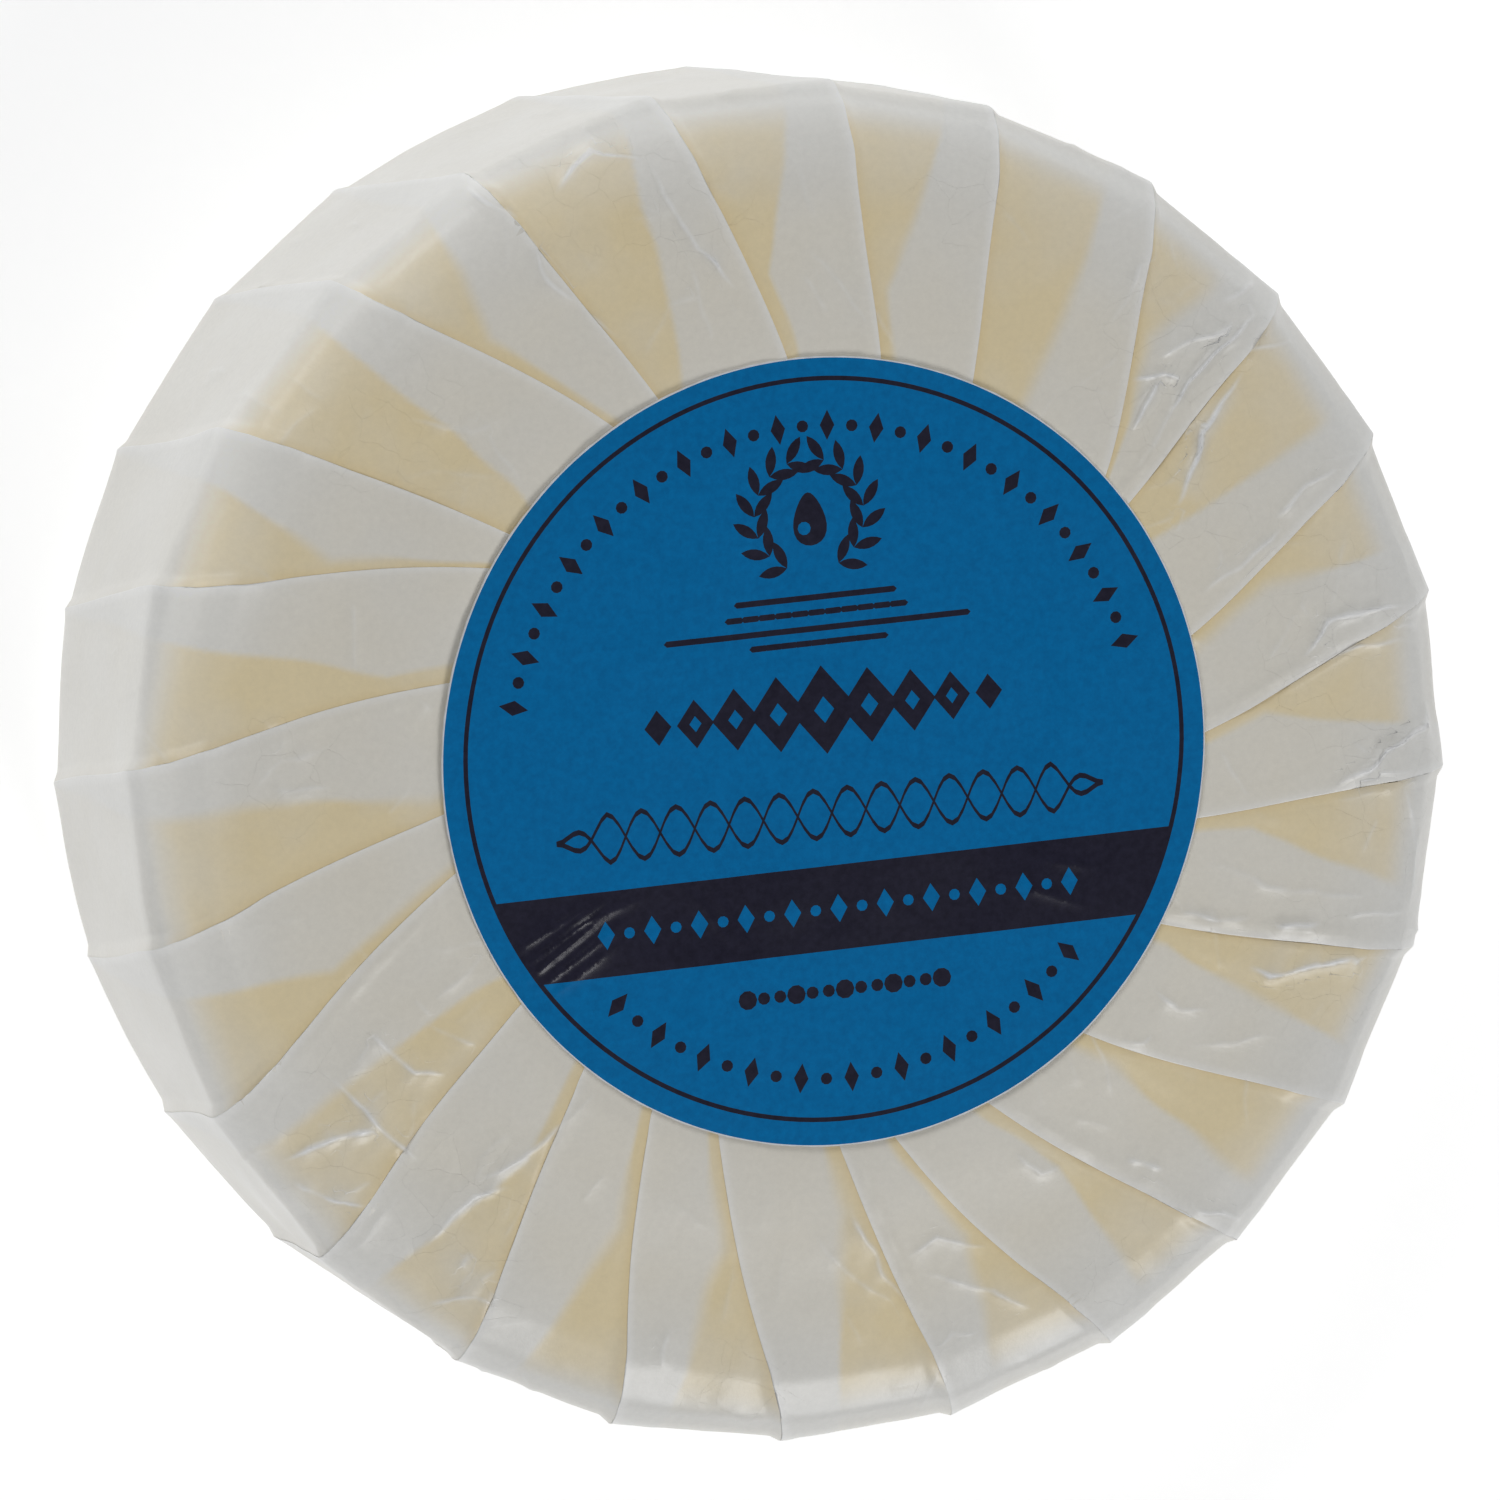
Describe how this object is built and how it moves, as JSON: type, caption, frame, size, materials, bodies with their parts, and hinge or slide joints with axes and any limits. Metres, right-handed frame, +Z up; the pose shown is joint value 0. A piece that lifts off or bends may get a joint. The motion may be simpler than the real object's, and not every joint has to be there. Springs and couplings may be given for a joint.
{
  "type": "shaving soap puck",
  "caption": "Round tablet of shaving soap wrapped in a pleated sheet of thin paper, with a round label sealing the pleats on top. It rests on its flat base.",
  "frame": {"origin": "centre of the flat base that the puck stands on", "axes": "+Z up the puck's axis, out through the label; +Y towards the top of the label's print; +X to the print's right"},
  "size_m": [0.0766, 0.0765, 0.0262],
  "materials": {
    "soap": "smooth milled soap, satin and slightly waxy",
    "wrapping_paper": "thin translucent white paper with a soft gloss and small creases",
    "label_print": "satin printed sticker, blue with dark print"
  },
  "bodies": {
    "root": {"soap_puck": "soap", "wrapper": "wrapping_paper", "label": "label_print"}
  },
  "joints": []
}
